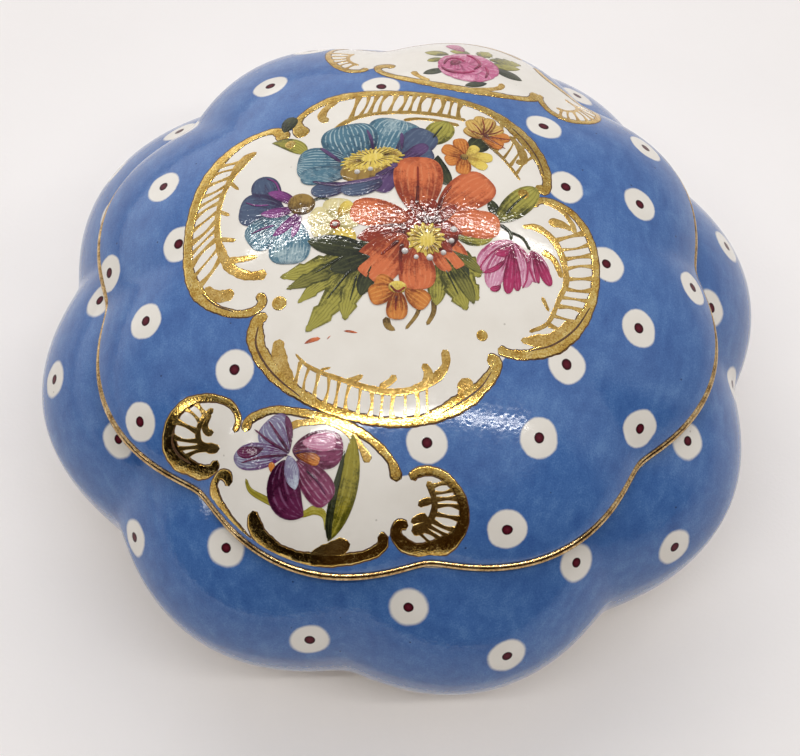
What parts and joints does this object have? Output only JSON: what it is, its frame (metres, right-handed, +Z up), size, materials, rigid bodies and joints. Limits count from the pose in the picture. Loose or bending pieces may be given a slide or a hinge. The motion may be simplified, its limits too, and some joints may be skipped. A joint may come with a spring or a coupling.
{
  "type": "trinket box",
  "caption": "Squat lobed porcelain trinket box: a bowl on a foot ring with a round inner collar, and a loose domed lobed lid with a thin flared lip.",
  "frame": {"origin": "on the table, at the middle of the foot ring", "axes": "+Z up along the box's axis; -Y towards the viewer; +X to the viewer's right"},
  "size_m": [0.1128, 0.1128, 0.0639],
  "materials": {
    "base_glaze": "glossy",
    "lid_glaze": "glossy"
  },
  "bodies": {
    "bowl": {"base": "base_glaze"},
    "cover": {"lid": "lid_glaze"}
  },
  "joints": [
    {"name": "lid_lift", "type": "slide", "parent": "bowl", "child": "cover", "axis": [0, 0, 1], "range_m": [0, 0.06]}
  ]
}
